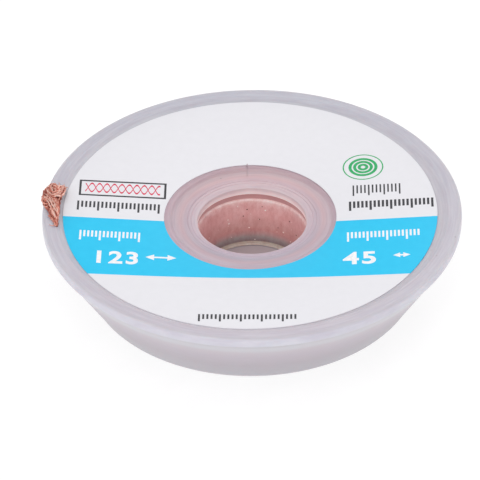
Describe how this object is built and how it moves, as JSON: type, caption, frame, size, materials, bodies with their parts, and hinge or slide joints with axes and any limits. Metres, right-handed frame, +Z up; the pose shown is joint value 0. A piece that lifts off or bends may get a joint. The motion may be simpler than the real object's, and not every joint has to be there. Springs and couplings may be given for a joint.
{
  "type": "desoldering braid",
  "caption": "Copper desoldering braid wound on a two-part dished plastic bobbin with a printed face label, its frayed end folded over the rim.",
  "frame": {"origin": "centre of the foot ring, at the height of the surface that the bobbin stands on", "axes": "+Z up along the hub bore towards the labelled flange; -X towards the side where the braid's frayed end leaves; +Y away from a viewer who faces the label with that end on the left"},
  "size_m": [0.0546, 0.054, 0.0116],
  "materials": {
    "flange_plastic": "frosted translucent moulding",
    "bowl_plastic": "frosted translucent moulding",
    "label_paper": "satin printed, white with a cyan band",
    "braid_copper": "braided fine copper wire"
  },
  "bodies": {
    "root": {"upper_flange": "flange_plastic", "lower_bowl": "bowl_plastic", "face_label": "label_paper", "copper_braid": "braid_copper"}
  },
  "joints": []
}
